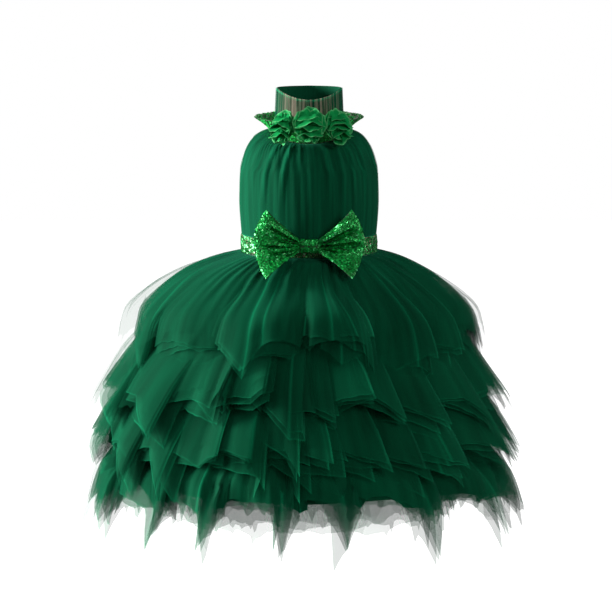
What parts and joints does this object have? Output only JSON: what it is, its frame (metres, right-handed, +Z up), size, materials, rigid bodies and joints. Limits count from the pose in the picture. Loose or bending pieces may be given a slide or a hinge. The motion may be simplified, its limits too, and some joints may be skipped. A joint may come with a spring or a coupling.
{
  "type": "tutu dress",
  "caption": "Child's sleeveless halter-neck party dress: gathered tulle bodice, stand collar with rosettes, sequin belt and bow, and a full skirt of pointed tulle tiers.",
  "frame": {"origin": "the middle of the neck opening at the height of the neck seam, where the wearer's neck holds the dress", "axes": "+Z up along the wearer's neck, -Y to the front with the bow and flowers, +X to the right as the front is seen"},
  "size_m": [0.5698, 0.4937, 0.5817],
  "materials": {
    "tulle": "soft polyester tulle in several plies, dark emerald green, sheer at single edges",
    "satin": "smooth satin, dark green, low sheen",
    "sequins": "net covered with small bright green sequins, glittering",
    "chiffon": "thin chiffon petals, bright green with pale cut edges",
    "button": "small dyed resin button, half gloss"
  },
  "bodies": {
    "root": {"collar": "tulle", "neck_sequin_band": "sequins", "flower_left": "chiffon", "flower_centre": "chiffon", "flower_right": "chiffon", "collar_button_1": "button", "collar_button_2": "button", "bodice_front": "tulle", "bodice_back": "tulle", "waist_band": "sequins", "bow_left_loop": "sequins", "bow_right_loop": "sequins", "bow_knot": "sequins", "underskirt": "satin", "tulle_tier_1": "tulle", "tulle_tier_2": "tulle", "tulle_tier_3": "tulle", "tulle_tier_4": "tulle"}
  },
  "joints": []
}
